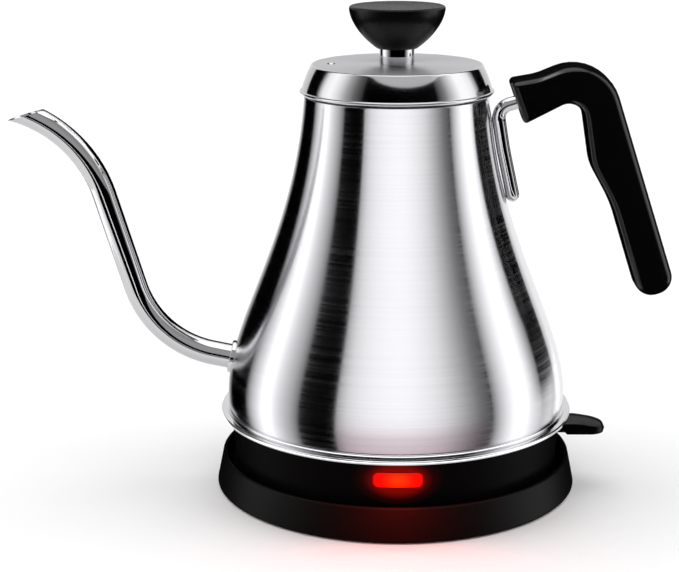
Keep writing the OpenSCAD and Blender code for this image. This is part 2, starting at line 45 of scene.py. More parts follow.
# Sizes in millimetres, as in the CAD. Outlines are (radius, height) or (x, z), and a third number is the
# radius that rounds the corner.
BASE_FOOT_R, BASE_TOP_R, BASE_H, BASE_EDGE_W = 78, 75.2, 14.4, 1.6
DISH_R, DISH_Z, WALL, TOWER_HOLE_R = 71.2, 9.8, 2.2, 17.6
RING_R, RING_FOOT_Z, BODY_FOOT_R, BODY_FOOT_Z = 75.7, 32.6, 72.4, 36
BELLY, NECK = (75.5, 68.5), (43.7, 103.5)
MOUTH_R, MOUTH_Z, SHEET, LIP_R = 38.8, 169, 0.8, 0.8
SPOUT_ROUTE = [(-69.3, 54.7, 0), (-104.5, 62, 43), (-135, 163.3, 54), (-176, 165.2, 0)]
SPOUT_R, SPOUT_MOUTH_R, SPOUT_WALL = 5.3, 4.8, 0.65
SPOUT_MOUTH_TOP, SPOUT_MOUTH_LIP = (-148.5, 163.2), (-164, 158.6)
COLLAR_R, COLLAR_T = 7.1, 2.7
ROD_ROUTE = [(49.15, 126.7, 0), (44.8, 146.5, 90), (41.95, 163.7, 6), (74, 173.5, 0)]
ROD_R = 2.9
GRIP_OUTLINE = [
    (46.4, 175.9, 2), (58, 177.9, 25), (85.6, 189.2, 20), (119.2, 87.2, 7.4), (103.8, 82.2, 7.4),
    (90.6, 123.4, 60), (81.2, 140.2, 22), (76.4, 169.6, 6.5), (53.1, 157.6, 1.5),
]
GRIP_W, GRIP_SIDE, GRIP_DRAW_IN = 20, 6, 3.6
LID_TOP_R, LID_TOP_Z, LID_RIM_R, LID_RIM_Z, BEAD_R = 35.7, 182.4, 39.9, 171.2, 0.75
VENT_X, VENT_R = -27.5, 1.5
STEM_R, KNOB_FOOT_Z, KNOB_FOOT_R = 7.35, 189, 8.5
KNOB_R, KNOB_TOP_Z, KNOB_RIM_H, KNOB_RIM_ROUND = 20, 206.5, 1.3, 1.2
LEVER_OUTLINE = [
    (73.8, 23.6, 0.3), (74.8, 22.6, 0.4), (91, 22.6, 0.5), (90.4, 24.3, 0.8), (79, 26.2, 14),
    (72, 26.2, 4), (60, 27.4, 2), (58, 26, 0.4), (58, 23.4, 0.4), (60, 20.8, 2), (64, 20.8, 2),
    (67, 23.6, 1),
]
LEVER_ARM = [(42, 26, 0.6), (59, 26, 0.4), (59, 23.4, 0.4), (42, 23.4, 0.6)]
LEVER_W, LEVER_SIDE, LEVER_DRAW_IN, LEVER_TIP_X, LEVER_TIP_ROUND = 15, 1.4, 0.6, 91, 6.5
LEVER_ARM_W, LEVER_ARM_SIDE = 10, 0.4
WINDOW_Z, WINDOW_R, GLOW_DEPTH = 24.8, 73.5, 60


# ---- outlines ----

def bezier(a, b, c, d, steps):
    """Points along the cubic curve from a to d that b and c pull on."""
    points = []
    for i in range(steps + 1):
        t = i / steps
        s = 1 - t
        weights = (s ** 3, 3 * s * s * t, 3 * s * t * t, t ** 3)
        points.append(tuple(sum(w * p[k] for w, p in zip(weights, (a, b, c, d))) for k in (0, 1)))
    return points


def corner_arc(before, at, after, steps):
    """Points of the arc that rounds the corner (x, y, radius), and the directions along it."""
    p, q, r = (Vector(c[:2]) for c in (before, at, after))
    way, onward = (q - p).normalized(), (r - q).normalized()
    bend = math.atan2(way.x * onward.y - way.y * onward.x, way.dot(onward))
    radius = at[2] if len(at) > 2 else 0
    start = q - way * radius * math.tan(abs(bend) / 2)
    centre = start + math.copysign(radius, bend) * Vector((-way.y, way.x))
    points, ways = [], []
    for i in range(steps + 1):
        turn = Matrix.Rotation(bend * i / steps, 2)
        points.append(tuple(centre + turn @ (start - centre)))
        ways.append(tuple(turn @ way))
    return points, ways


def rounded(corners, steps=6):
    """Closed outline with every corner (x, y, radius) rounded."""
    count = len(corners)
    points = []
    for i in range(count):
        if corners[i][2:] in ((), (0,)):
            points.append(tuple(corners[i][:2]))
        else:
            points += corner_arc(corners[i - 1], corners[i], corners[(i + 1) % count], steps)[0]
    return points


def inset(corners, distance):
    """The corners of a clockwise outline moved inwards, with their rounding changed to match."""
    count = len(corners)
    moved = []
    for i in range(count):
        p, q, r = (Vector(corners[k][:2]) for k in (i - 1, i, (i + 1) % count))
        a, b = (q - p).normalized(), (r - q).normalized()
        shift = Vector((a.y + b.y, -a.x - b.x)) * distance / (1 + a.dot(b))
        right_turn = a.x * b.y - a.y * b.x < 0
        radius = corners[i][2] + (-distance if right_turn else distance)
        moved.append((q.x + shift.x, q.y + shift.y, max(radius, 0.4)))
    return moved


def stations(route, steps=24, straight=6):
    """Points and directions along a route of corners (x, z, bend radius)."""
    points, ways = [], []
    first = (Vector(route[1][:2]) - Vector(route[0][:2])).normalized()
    points.append(tuple(route[0][:2]))
    ways.append(tuple(first))
    for i in range(1, len(route) - 1):
        arc, arc_ways = corner_arc(route[i - 1], route[i], route[i + 1], steps)
        from_point, to_point = Vector(points[-1]), Vector(arc[0])
        for k in range(1, straight):
            points.append(tuple(from_point.lerp(to_point, k / straight)))
            ways.append(arc_ways[0])
        points += arc
        ways += arc_ways
    points.append(tuple(route[-1][:2]))
    ways.append(ways[-1])
    return list(zip(points, ways))


# ---- meshes ----

def new_object(name, vertices, faces, body, materials, replaces=(), sharp=30):
    """A smooth mesh from vertices in millimetres that rides on a CAD body and stands for CAD nodes."""
    mesh = bpy.data.meshes.new(name)
    mesh.from_pydata([tuple(c * MM for c in v) for v in vertices], [], faces)
    return finish_mesh(name, mesh, body, materials, replaces, sharp)


def finish_mesh(name, mesh, body, materials, replaces=(), sharp=30):
    """Welds and smooths a mesh, and makes it a piece on its body. Edges over the angle sharp stay hard."""
    work = bmesh.new()
    work.from_mesh(mesh)
    bmesh.ops.remove_doubles(work, verts=work.verts, dist=WELD_GAP)
    bmesh.ops.recalc_face_normals(work, faces=work.faces)
    work.to_mesh(mesh)
    work.free()
    mesh.shade_smooth()
    mesh.set_sharp_from_angle(angle=math.radians(sharp))
    for material in materials if isinstance(materials, list) else [materials]:
        mesh.materials.append(material)
    obj = bpy.data.objects.new(name, mesh)
    bpy.context.scene.collection.objects.link(obj)
    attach(obj, body)
    if replaces:
        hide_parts(*replaces)
    return obj


def lathe(name, outline, body, materials, replaces=(), sides=256, sharp=30):
    """A closed (radius, height) outline turned round the Z axis."""
    vertices, faces = [], []
    count = len(outline)
    on_axis = [r < 1e-6 for r, z in outline]
    for r, z in outline:
        for k in range(sides):
            a = 2 * math.pi * k / sides
            vertices.append((r * math.cos(a), r * math.sin(a), z))
    for i in range(count):
        j = (i + 1) % count
        if on_axis[i] and on_axis[j]:
            continue
        for k in range(sides):
            n = (k + 1) % sides
            if on_axis[i]:
                faces.append((i * sides, j * sides + n, j * sides + k))
            elif on_axis[j]:
                faces.append((i * sides + k, i * sides + n, j * sides))
            else:
                faces.append((i * sides + k, i * sides + n, j * sides + n, j * sides + k))
    used = sorted({v for face in faces for v in face})
    place = {v: i for i, v in enumerate(used)}
    return new_object(name, [vertices[v] for v in used], [tuple(place[v] for v in f) for f in faces],
                      body, materials, replaces, sharp)


def skin(name, rings, body, materials, replaces=(), sharp=30):
    """A closed skin over rings of points, with a flat face at each end."""
    sides, last = len(rings[0]), len(rings) - 1
    faces = [tuple(range(sides - 1, -1, -1)), tuple(last * sides + k for k in range(sides))]
    for i in range(last):
        for k in range(sides):
            n = (k + 1) % sides
            faces.append((i * sides + n, (i + 1) * sides + n, (i + 1) * sides + k, i * sides + k))
    return new_object(name, [p for ring in rings for p in ring], faces, body, materials, replaces, sharp)


def ring_at(station, radius, sides):
    """A circle of points square to a route at one of its stations."""
    (x, z), (way_x, way_z) = station
    ring = []
    for k in range(sides):
        a = 2 * math.pi * k / sides
        out = radius * math.cos(a)
        ring.append((x - out * way_z, radius * math.sin(a), z + out * way_x))
    return ring


def slab(name, corners, width, side, draw_in, body, materials, replaces=(), steps=10, layers=9):
    """An outline in the XZ plane with thickness along Y.

    Its long edges are rounded over side along Y and draw_in into the outline."""
    half = []
    for i in range(layers + 1):
        a = math.radians(90 - 90 * i / layers)
        half.append((width / 2 - side * (1 - math.sin(a)), draw_in * (1 - math.cos(a))))
    both = half + [(-y, d) for y, d in reversed(half)]
    rings = [[(x, y, z) for x, z in rounded(inset(corners, d), steps)] for y, d in both]
    return skin(name, rings, body, materials, replaces, sharp=35)


def cut(obj, cutter):
    """Takes the cutter's shape out of obj, for good."""
    modifier = obj.modifiers.new("cut", "BOOLEAN")
    modifier.object = cutter
    modifier.solver = "EXACT"
    graph = bpy.context.evaluated_depsgraph_get()
    cut_mesh = bpy.data.meshes.new_from_object(obj.evaluated_get(graph))
    obj.modifiers.clear()
    obj.data = cut_mesh
    bpy.data.objects.remove(cutter)


# ---- materials ----

BUMP_DEPTH = 0.0001


def principled(name, colour, metallic, roughness, **sockets):
    """A new material with its shader, nodes and links. Other sockets go by name, with _ for a space."""
    material = bpy.data.materials.new(name)
    material.use_nodes = True
    shader = material.node_tree.nodes["Principled BSDF"]
    shader.inputs["Base Color"].default_value = (*colour, 1)
    shader.inputs["Metallic"].default_value = metallic
    shader.inputs["Roughness"].default_value = roughness
    for socket, value in sockets.items():
        shader.inputs[socket.replace("_", " ")].default_value = value
    return material, shader, material.node_tree.nodes, material.node_tree.links


def grain(nodes, links, scale, detail=3.0):
    """Noise in the object's own space, stretched by scale along X, Y and Z."""
    place = nodes.new("ShaderNodeTexCoord")
    stretch = nodes.new("ShaderNodeMapping")
    stretch.inputs["Scale"].default_value = scale
    noise = nodes.new("ShaderNodeTexNoise")
    noise.inputs["Scale"].default_value = 1
    noise.inputs["Detail"].default_value = detail
    links.new(place.outputs["Object"], stretch.inputs["Vector"])
    links.new(stretch.outputs["Vector"], noise.inputs["Vector"])
    return noise.outputs["Fac"]


def vary_roughness(nodes, links, shader, source, roughness, unevenness):
    """Lets the roughness follow source, by up to unevenness either way."""
    spread = nodes.new("ShaderNodeMapRange")
    spread.inputs["To Min"].default_value = roughness - unevenness
    spread.inputs["To Max"].default_value = roughness + unevenness
    links.new(source, spread.inputs["Value"])
    links.new(spread.outputs["Result"], shader.inputs["Roughness"])


def add_bump(nodes, links, shader, source, strength):
    """Raises the surface by up to BUMP_DEPTH metres where source is bright."""
    bump = nodes.new("ShaderNodeBump")
    bump.inputs["Strength"].default_value = strength
    bump.inputs["Distance"].default_value = BUMP_DEPTH
    links.new(source, bump.inputs["Height"])
    links.new(bump.outputs["Normal"], shader.inputs["Normal"])


def brushed_steel(name, colour, roughness, anisotropic, grain_scale, unevenness):
    """Steel with a fine grain, and highlights drawn out across it."""
    material, shader, nodes, links = principled(name, colour, 1, roughness, Anisotropic=anisotropic,
                                                Anisotropic_Rotation=0.25)
    tangent = nodes.new("ShaderNodeTangent")
    tangent.direction_type = "RADIAL"
    tangent.axis = "Z"
    links.new(tangent.outputs["Tangent"], shader.inputs["Tangent"])
    streaks = grain(nodes, links, grain_scale)
    vary_roughness(nodes, links, shader, streaks, roughness, unevenness)
    add_bump(nodes, links, shader, streaks, 0.05)
    return material


def polished_metal(name, colour, roughness):
    """Metal whose polish has worn unevenly in soft patches."""
    material, shader, nodes, links = principled(name, colour, 1, roughness)
    patches = grain(nodes, links, (60, 60, 60))
    vary_roughness(nodes, links, shader, patches, roughness, roughness * 0.4)
    return material


def moulded(name, colour, roughness, pitch, strength, **sockets):
    """Plastic or rubber with a fine moulded texture of the given pitch."""
    material, shader, nodes, links = principled(name, colour, 0, roughness, **sockets)
    texture = grain(nodes, links, (pitch, pitch, pitch))
    vary_roughness(nodes, links, shader, texture, roughness, roughness * 0.15)
    add_bump(nodes, links, shader, texture, strength)
    return material


STEEL = (0.70, 0.696, 0.72)
SATIN_BLACK = (0.003, 0.0022, 0.0022)
SATIN_ROUGHNESS, SATIN_SHINE = 0.42, 0.14
DEEP_BLACK = (0.002, 0.002, 0.002)

BRUSHED = brushed_steel("brushed_body_steel", STEEL, roughness=0.17, anisotropic=0.93,
                        grain_scale=(6, 6, 1300), unevenness=0.12)
LID_TOP = brushed_steel("brushed_lid_steel", STEEL, roughness=0.42, anisotropic=0.6,
                        grain_scale=(900, 900, 900), unevenness=0.05)
POLISHED = polished_metal("polished_steel", (0.80, 0.797, 0.815), 0.05)
LID_POLISHED = polished_metal("polished_lid_steel", (0.74, 0.737, 0.755), 0.1)
BLACK = moulded("satin_black_plastic", SATIN_BLACK, SATIN_ROUGHNESS, pitch=2500, strength=0.15,
                Specular_IOR_Level=SATIN_SHINE)
KNOB_BLACK = moulded("knob_black_plastic", (0.003, 0.003, 0.003), 0.28, pitch=2500, strength=0.08,
                     Specular_IOR_Level=0.25)
GLOSS_BLACK = moulded("gloss_black_plastic", DEEP_BLACK, 0.16, pitch=900, strength=0.03)
LEVER_BLACK = moulded("lever_black_plastic", DEEP_BLACK, 0.16, pitch=900, strength=0.03,
                      Specular_IOR_Level=0.12)
RUBBER = moulded("black_rubber", (0.02, 0.02, 0.02), 0.8, pitch=1800, strength=0.3)
PALE = moulded("pale_plastic", (0.72, 0.70, 0.62), 0.5, pitch=1500, strength=0.1)
BOARD = moulded("circuit_board", (0.02, 0.14, 0.05), 0.4, pitch=1200, strength=0.1)
BRASS = polished_metal("contact_brass", (0.72, 0.55, 0.25), 0.25)
ZINC = polished_metal("plated_screw_steel", (0.62, 0.62, 0.60), 0.25)
DULL = polished_metal("dull_sheath_steel", (0.38, 0.37, 0.35), 0.4)
ALUMINIUM = polished_metal("aluminium_plate", (0.62, 0.63, 0.64), 0.35)


def add_glow(nodes, links, shader, reach_x, reach_z, stops):
    """Emission that fades over its reach from the window's middle, as the window's own light or as red
    glow painted round it. Stops are (nearness to it, colour).
    """
    place = nodes.new("ShaderNodeTexCoord")
    offset = nodes.new("ShaderNodeMapping")
    offset.inputs["Location"].default_value = (0, WINDOW_R / GLOW_DEPTH, -WINDOW_Z / reach_z)
    offset.inputs["Scale"].default_value = [1 / (MM * reach) for reach in (reach_x, GLOW_DEPTH, reach_z)]
    spread = nodes.new("ShaderNodeTexGradient")
    spread.gradient_type = "SPHERICAL"
    ramp = nodes.new("ShaderNodeValToRGB")
    ramp.color_ramp.interpolation = "EASE"
    elements = ramp.color_ramp.elements
    for i, (nearness, colour) in enumerate(stops):
        element = elements[i] if i < 2 else elements.new(nearness)
        element.position = nearness
        element.color = (*colour, 1)
    links.new(place.outputs["Object"], offset.inputs["Vector"])
    links.new(offset.outputs["Vector"], spread.inputs["Vector"])
    links.new(spread.outputs["Fac"], ramp.inputs["Fac"])
    links.new(ramp.outputs["Color"], shader.inputs["Emission Color"])


def lit_red():
    """Red window, brightest and more orange in the middle, dark at its ends."""
    material, shader, nodes, links = principled("lit_red_window", (0.25, 0, 0), 0, 0.3,
                                                Emission_Strength=1.2, Specular_IOR_Level=0.05)
    stops = [(0.12, (0.10, 0, 0)), (0.45, (0.85, 0.002, 0)), (1, (1, 0.035, 0.001))]
    add_glow(nodes, links, shader, reach_x=14, reach_z=9, stops=stops)
    return material


def black_with_painted_glow():
    """The plastic round the window, with the red light that it picks up from the window painted on as a
    glow.
    """
    material, shader, nodes, links = principled("plastic_round_window_painted_glow", SATIN_BLACK, 0, SATIN_ROUGHNESS,
                                                Emission_Strength=0.32, Specular_IOR_Level=SATIN_SHINE)
    stops = [(0, (0, 0, 0)), (0.2, (0.03, 0, 0)), (0.6, (0.6, 0.004, 0))]
    add_glow(nodes, links, shader, reach_x=19, reach_z=11.5, stops=stops)
    return material


LIT_RED = lit_red()
BLACK_WITH_PAINTED_GLOW = black_with_painted_glow()

# The finish of each CAD node whose shape stays as it is
CAD_FINISHES = {
    BLACK: ["base_bottom", "base_connector", "kettle_connector", "bottom_cover"],
    # The skirt has the window's red glow painted on the plastic round the window
    BLACK_WITH_PAINTED_GLOW: ["kettle_skirt"],
    RUBBER: ["base_feet", "cord_inlet"],
    ZINC: ["base_screws", "cover_screws", "lever_pin", "handle_screw", "knob_screw", "knob_washer"],
    BRASS: ["base_contacts", "connector_pin", "connector_ring", "element_terminals"],
    BRUSHED: ["vessel_bottom", "lid_plug"],
    ALUMINIUM: ["heat_spreader"],
    DULL: ["heating_element", "bimetal_discs"],
    PALE: ["control_body", "trip_rod"],
    BOARD: ["indicator_board"],
    LIT_RED: ["indicator_lens", "indicator_lamps"],
}
for material, names in CAD_FINISHES.items():
    for name in names:
        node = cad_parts[name]
        node.data.materials.clear()
        node.data.materials.append(material)
        node.data.shade_smooth()
        node.data.set_sharp_from_angle(angle=math.radians(30))


# ---- power base ----

BASE_FOOT_Z = 0.6
DISH_UNDER_Z = DISH_Z - WALL
EDGE_IN_R = BASE_TOP_R - BASE_EDGE_W
lathe("base_cover_visual", rounded([
    (BASE_FOOT_R, BASE_FOOT_Z, 0.6), (BASE_TOP_R, BASE_H, 0.8), (EDGE_IN_R, BASE_H, 0.6),
    (DISH_R, DISH_Z, 1.5), (TOWER_HOLE_R, DISH_Z, 0.2), (TOWER_HOLE_R, DISH_UNDER_Z, 0.2),
    (DISH_R + 0.6, DISH_UNDER_Z, 0.5), (EDGE_IN_R - 1, DISH_UNDER_Z + BASE_EDGE_W, 0.5),
    (BASE_FOOT_R - WALL, BASE_FOOT_Z, 0.2),
]), "power_base", BLACK, ["base_cover"])

# ---- kettle ----

# A thin bead over a wide one, with a groove between them, a little crisper than in the CAD
RING_IN_R = BODY_FOOT_R - 2.4
THIN_BEAD_R, THIN_BEAD_FOOT_Z = BODY_FOOT_R + 0.85, BODY_FOOT_Z - 0.9
GROOVE_R, GROOVE_TOP_Z, GROOVE_FOOT_Z = BODY_FOOT_R + 0.4, BODY_FOOT_Z - 1.1, BODY_FOOT_Z - 1.4
lathe("base_ring_visual", rounded([
    (RING_IN_R, RING_FOOT_Z, 0.2), (RING_IN_R, BODY_FOOT_Z, 0.1), (THIN_BEAD_R, BODY_FOOT_Z, 0.2),
    (THIN_BEAD_R, THIN_BEAD_FOOT_Z, 0.2), (GROOVE_R, GROOVE_TOP_Z, 0.1), (GROOVE_R, GROOVE_FOOT_Z, 0.1),
    (RING_R - 0.4, BODY_FOOT_Z - 1.6, 0.3), (RING_R, BODY_FOOT_Z - 2, 0.3), (RING_R, RING_FOOT_Z, 0.6),
]), "kettle", POLISHED, ["base_ring"], sharp=60)

LIP_CURL, LIP_STEPS = 225, 12
bell = bezier((BODY_FOOT_R, BODY_FOOT_Z), BELLY, NECK, (MOUTH_R, MOUTH_Z), steps=96)
lip = []
for i in range(LIP_STEPS + 1):
    a = math.radians(LIP_CURL * i / LIP_STEPS)
    lip.append((MOUTH_R - LIP_R + LIP_R * math.cos(a), MOUTH_Z + LIP_R * math.sin(a)))
lathe("body_shell_visual", bell + lip[1:] + [(r - SHEET, z) for r, z in reversed(bell[:-2])],
      "kettle", BRUSHED, ["body_shell"], sides=320)


def spout_tube(name, body, material, sides=64):
    """The tube with its bore, cut on a slant at the mouth."""
    route = stations(SPOUT_ROUTE, straight=1)
    radii = [SPOUT_R + (SPOUT_MOUTH_R - SPOUT_R) * i / (len(route) - 1) for i in range(len(route))]
    outer = [p for s, r in zip(route, radii) for p in ring_at(s, r, sides)]
    inner = [p for s, r in zip(route, radii) for p in ring_at(s, r - SPOUT_WALL, sides)]
    faces = []
    for i in range(len(route) - 1):
        for k in range(sides):
            n = (k + 1) % sides
            quad = (i * sides + n, (i + 1) * sides + n, (i + 1) * sides + k, i * sides + k)
            faces.append(quad)
            faces.append(tuple(len(outer) + v for v in reversed(quad)))
    for k in range(sides):
        n = (k + 1) % sides
        faces.append((k, n, len(outer) + n, len(outer) + k))
    mesh = bpy.data.meshes.new(name)
    mesh.from_pydata([tuple(c * MM for c in v) for v in outer + inner], [], faces)
    top, tip = Vector(SPOUT_MOUTH_TOP), Vector(SPOUT_MOUTH_LIP)
    slant = (tip - top).normalized()
    work = bmesh.new()
    work.from_mesh(mesh)
    bmesh.ops.bisect_plane(work, geom=work.verts[:] + work.edges[:] + work.faces[:], clear_outer=True,
                           plane_co=(top.x * MM, 0, top.y * MM), plane_no=(slant.y, 0, -slant.x))
    rim = [e for e in work.edges if e.is_boundary]
    bmesh.ops.bridge_loops(work, edges=rim)
    work.to_mesh(mesh)
    work.free()
    return finish_mesh(name, mesh, body, material, ["spout_tube"], sharp=50)


def spout_collar(name, body, material, sides=96):
    """The collar where the spout meets the body, with its outer edge rounded."""
    start, way = stations(SPOUT_ROUTE)[0]
    rings = []
    for distance, radius in (
        (0, COLLAR_R), (COLLAR_T - 0.7, COLLAR_R), (COLLAR_T - 0.4, COLLAR_R - 0.07),
        (COLLAR_T - 0.15, COLLAR_R - 0.27), (COLLAR_T, COLLAR_R - 0.7), (COLLAR_T, SPOUT_R),
    ):
        centre = (start[0] + way[0] * distance, start[1] + way[1] * distance)
        rings.append(ring_at((centre, way), radius, sides))
    return skin(name, rings, body, material, ["spout_collar"])


def handle_rod(name, body, material, sides=48, nose_steps=8, nose_angle=88):
    """The rod, with a round nose at its lower end. At 90 degrees a ring of the nose would have no size."""
    route = stations(ROD_ROUTE)
    (nose_x, nose_z), (way_x, way_z) = route[0]
    rings = []
    for i in range(nose_steps + 1):
        a = math.radians(nose_angle * (1 - i / nose_steps))
        back = ROD_R * math.sin(a)
        centre = (nose_x - back * way_x, nose_z - back * way_z)
        rings.append(ring_at((centre, (way_x, way_z)), ROD_R * math.cos(a), sides))
    rings += [ring_at(station, ROD_R, sides) for station in route[1:]]
    return skin(name, rings, body, material, ["handle_rod"], sharp=60)


spout_tube("spout_tube_visual", "kettle", POLISHED)
spout_collar("spout_collar_visual", "kettle", POLISHED)
handle_rod("handle_rod_visual", "kettle", POLISHED)
slab("handle_grip_visual", GRIP_OUTLINE, GRIP_W, GRIP_SIDE, GRIP_DRAW_IN,
     "kettle", GLOSS_BLACK, ["handle_grip"])

# ---- lid ----

# The skirt bulges a little in the visual model, in a wide curve through its middle
SKIRT_OUT, SKIRT_UP, SKIRT_CURVE_R = 0.46, 0.2, 50
bead_top_z, bead_foot_z = LID_RIM_Z + BEAD_R, LID_RIM_Z - BEAD_R
skirt_middle = ((LID_TOP_R + LID_RIM_R) / 2 + SKIRT_OUT, (LID_TOP_Z + bead_top_z) / 2 + SKIRT_UP,
                SKIRT_CURVE_R)
lid = lathe("lid_cover_visual", rounded([
    (0, LID_TOP_Z), (LID_TOP_R, LID_TOP_Z, 0.9), skirt_middle, (LID_RIM_R, bead_top_z, 0.1),
    (LID_RIM_R + BEAD_R, bead_top_z, 0.7), (LID_RIM_R + BEAD_R, bead_foot_z, 0.7),
    (LID_RIM_R - BEAD_R, bead_foot_z, 0.7), (LID_RIM_R - SHEET, bead_top_z, 0.1),
    (LID_TOP_R - SHEET, LID_TOP_Z - SHEET, 0.5), (0, LID_TOP_Z - SHEET),
]), "lid", [LID_POLISHED, LID_TOP], ["lid_cover"], sides=320)

# The steam vent, with its upper edge opened out
VENT_CUT_H, VENT_CUT_DROP = 1.4, 0.6
bpy.ops.mesh.primitive_cone_add(
    vertices=48, radius1=(VENT_R - VENT_CUT_H / 2) * MM, radius2=(VENT_R + VENT_CUT_H / 2) * MM,
    depth=VENT_CUT_H * MM, location=(VENT_X * MM, 0, (LID_TOP_Z - VENT_CUT_DROP) * MM))
cut(lid, bpy.context.object)

# The flat top takes the second finish
UPWARD, TOP_FINISH = 0.97, 1
for face in lid.data.polygons:
    if face.normal.z > UPWARD:
        face.material_index = TOP_FINISH

STEM_BORE_R = 2
lathe("knob_stem_visual", rounded([
    (STEM_BORE_R, LID_TOP_Z, 0.05), (STEM_BORE_R, KNOB_FOOT_Z, 0.05), (STEM_R, KNOB_FOOT_Z, 0.2),
    (STEM_R, LID_TOP_Z, 0.3),
]), "lid", POLISHED, ["knob_stem"])

knob_rim_z = KNOB_TOP_Z - KNOB_RIM_H
low_pull, high_pull = (KNOB_FOOT_R + 5.4, KNOB_FOOT_Z + 3.8), (KNOB_R - 0.5, knob_rim_z - 6)
knob_bowl = bezier((KNOB_FOOT_R, KNOB_FOOT_Z), low_pull, high_pull, (KNOB_R, knob_rim_z), steps=40)
knob_edge = corner_arc((KNOB_R, knob_rim_z), (KNOB_R, KNOB_TOP_Z, KNOB_RIM_ROUND), (0, KNOB_TOP_Z),
                       steps=8)[0]
lathe("lid_knob_visual", [(0, KNOB_FOOT_Z)] + knob_bowl + knob_edge + [(0, KNOB_TOP_Z)],
      "lid", KNOB_BLACK, ["lid_knob"])

# ---- switch ----

def round_tip(obj, tip_x, radius, width):
    """Rounds the end of a lever as seen from above, by drawing its sides in towards the tip."""
    work = bmesh.new()
    work.from_mesh(obj.data)
    for degrees in range(0, 90, 6):
        x = tip_x - radius * (1 - math.sin(math.radians(degrees)))
        bmesh.ops.bisect_plane(work, geom=work.verts[:] + work.edges[:] + work.faces[:],
                               plane_co=(x * MM, 0, 0), plane_no=(1, 0, 0))
    for v in work.verts:
        beyond = v.co.x / MM - (tip_x - radius)
        if beyond > 0:
            half = width / 2 - radius + math.sqrt(max(radius ** 2 - beyond ** 2, 0))
            v.co.y *= half / (width / 2)
    work.to_mesh(obj.data)
    work.free()


lever = slab("switch_lever_visual", LEVER_OUTLINE, LEVER_W, LEVER_SIDE, LEVER_DRAW_IN,
             "switch", LEVER_BLACK, ["switch_lever"], steps=5)
round_tip(lever, LEVER_TIP_X, LEVER_TIP_ROUND, LEVER_W)
slab("switch_arm_visual", LEVER_ARM, LEVER_ARM_W, LEVER_ARM_SIDE, LEVER_ARM_SIDE,
     "switch", LEVER_BLACK, steps=2, layers=2)


# ---- light ----

def emission(name, levels, strength, tint=(1, 1, 1)):
    """See-through light whose brightness runs through the levels from side to side of a panel."""
    material = bpy.data.materials.new(name)
    material.use_nodes = True
    nodes, links = material.node_tree.nodes, material.node_tree.links
    nodes.clear()
    across = nodes.new("ShaderNodeUVMap")
    split = nodes.new("ShaderNodeSeparateXYZ")
    ramp = nodes.new("ShaderNodeValToRGB")
    glow = nodes.new("ShaderNodeEmission")
    clear = nodes.new("ShaderNodeBsdfTransparent")
    both = nodes.new("ShaderNodeAddShader")
    output = nodes.new("ShaderNodeOutputMaterial")
    stops = ramp.color_ramp.elements
    for i, level in enumerate(levels):
        place = i / max(len(levels) - 1, 1)
        stop = stops[i] if i < 2 else stops.new(place)
        stop.position = place
        stop.color = (level * tint[0], level * tint[1], level * tint[2], 1)
    glow.inputs["Strength"].default_value = strength
    links.new(across.outputs["UV"], split.inputs["Vector"])
    links.new(split.outputs["X"], ramp.inputs["Fac"])
    links.new(ramp.outputs["Color"], glow.inputs["Color"])
    links.new(glow.outputs["Emission"], both.inputs[0])
    links.new(clear.outputs["BSDF"], both.inputs[1])
    links.new(both.outputs["Shader"], output.inputs["Surface"])
    return material


def seen_only(obj, kind):
    """Hides obj from every kind of ray but one."""
    for other in ("camera", "diffuse", "glossy", "transmission", "shadow", "volume_scatter"):
        setattr(obj, "visible_" + other, other == kind)


def light_panel(name, vertices, faces, across, material, receivers):
    """A panel seen only in reflections, by the pieces that its receivers let in.

    Its across gives the place from side to side, 0 to 1, of each corner of each face."""
    mesh = bpy.data.meshes.new(name)
    mesh.from_pydata(vertices, [], faces)
    layer = mesh.uv_layers.new(name="UVMap")
    for loop, u in zip(layer.data, across):
        loop.uv = (u, 0.5)
    mesh.materials.append(material)
    panel = bpy.data.objects.new(name, mesh)
    bpy.context.scene.collection.objects.link(panel)
    seen_only(panel, "glossy")
    panel.light_linking.receiver_collection = receivers


def wall_panel(name, first, last, foot, top, levels, strength, receivers,
               distance=1.6, tint=(1, 1, 1), dip=0):
    """Part of an upright drum round the object, whose foot hangs down in an arch by dip.

    The angles first and last are in degrees from the camera's side, positive to the right."""
    count = max(2, int(abs(last - first) / 2))
    vertices, faces, across = [], [], []
    for i in range(count + 1):
        a = math.radians(first + (last - first) * i / count)
        arch = math.sqrt(max(1 - (2 * i / count - 1) ** 2, 0))
        for z in (foot - dip * arch, top):
            vertices.append((distance * math.sin(a), -distance * math.cos(a), z))
    for i in range(count):
        faces.append((2 * i, 2 * i + 2, 2 * i + 3, 2 * i + 1))
        across += [i / count, (i + 1) / count, (i + 1) / count, i / count]
    light_panel(name, vertices, faces, across, emission(name, levels, strength, tint), receivers)


def round_panel(name, height, inner, outer, levels, strength, receivers, sides=64):
    """A flat ring of light round the object's axis, with its levels from the inner edge to the outer."""
    vertices, faces, across = [], [], []
    for k in range(sides):
        a = 2 * math.pi * k / sides
        for r in (inner, outer):
            vertices.append((r * math.sin(a), -r * math.cos(a), height))
    for k in range(sides):
        n = (k + 1) % sides
        faces.append((2 * k, 2 * k + 1, 2 * n + 1, 2 * n))
        across += [0, 1, 1, 0]
    light_panel(name, vertices, faces, across, emission(name, levels, strength), receivers)


def light_group(name, pieces, link_state="INCLUDE"):
    """The pieces that a light reaches, or the only ones that it doesn't reach."""
    group = bpy.data.collections.new(name)
    for piece in pieces:
        group.objects.link(bpy.data.objects[piece + "_visual"])
    for entry in group.collection_objects:
        entry.light_linking.link_state = link_state
    return group


TUBES = ["spout_tube", "spout_collar", "handle_rod"]
LID_AND_RING = ["lid_cover", "knob_stem", "base_ring"]
body_only = light_group("brushed_body", ["body_shell"])
all_but_body = light_group("all_but_the_body", ["body_shell"], "EXCLUDE")
tubes = light_group("bright_tubes", TUBES)
polished = light_group("polished_parts", TUBES + LID_AND_RING)
lid_only = light_group("lid_only", ["lid_cover"])
grip_only = light_group("grip_only", ["handle_grip"])

